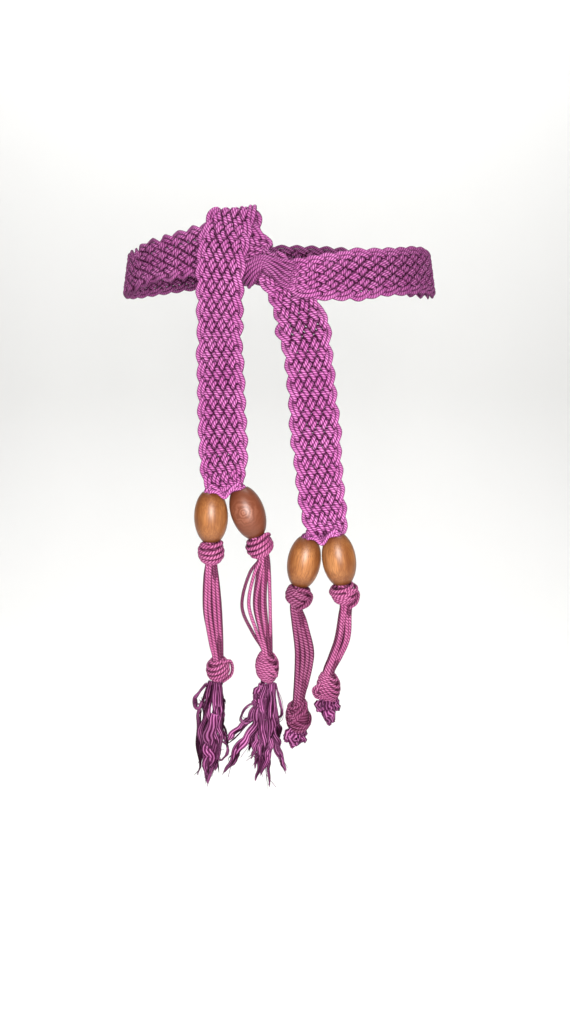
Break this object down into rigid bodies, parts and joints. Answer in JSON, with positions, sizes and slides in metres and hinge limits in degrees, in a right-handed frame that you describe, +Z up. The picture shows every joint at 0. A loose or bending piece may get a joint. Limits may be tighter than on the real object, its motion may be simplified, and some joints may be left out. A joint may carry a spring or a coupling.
{
  "type": "plaited rope belt with wooden beads",
  "caption": "Flat plaited cord belt tied at the front with a half knot, its hanging ends finished with oval wooden beads, knots and frayed tassels.",
  "frame": {"origin": "middle of the waist hollow that the belt is worn round, halfway up the band's side", "axes": "+Z up along the waist, -Y to the front where the knot is, +X to the right as seen from the front"},
  "size_m": [0.248, 0.2214, 0.4108],
  "materials": {
    "cord": "twisted satin cord, matt with a soft sheen",
    "frayed_cord": "frayed fibres, matt",
    "bead_wood": "stained and varnished, satin"
  },
  "bodies": {
    "root": {"woven_band": "cord", "cord_bundle_left_outer": "cord", "cord_bundle_left_inner": "cord", "cord_bundle_right_inner": "cord", "cord_bundle_right_outer": "cord", "bead_left_outer": "bead_wood", "bead_left_inner": "bead_wood", "bead_right_inner": "bead_wood", "bead_right_outer": "bead_wood", "upper_knot_left_outer": "cord", "upper_knot_left_inner": "cord", "upper_knot_right_inner": "cord", "upper_knot_right_outer": "cord", "lower_knot_left_outer": "cord", "lower_knot_left_inner": "cord", "lower_knot_right_inner": "cord", "lower_knot_right_outer": "cord", "tassel_left_outer": "frayed_cord", "tassel_left_inner": "frayed_cord", "frayed_stub_right_inner": "frayed_cord", "frayed_stub_right_outer": "frayed_cord"}
  },
  "joints": []
}
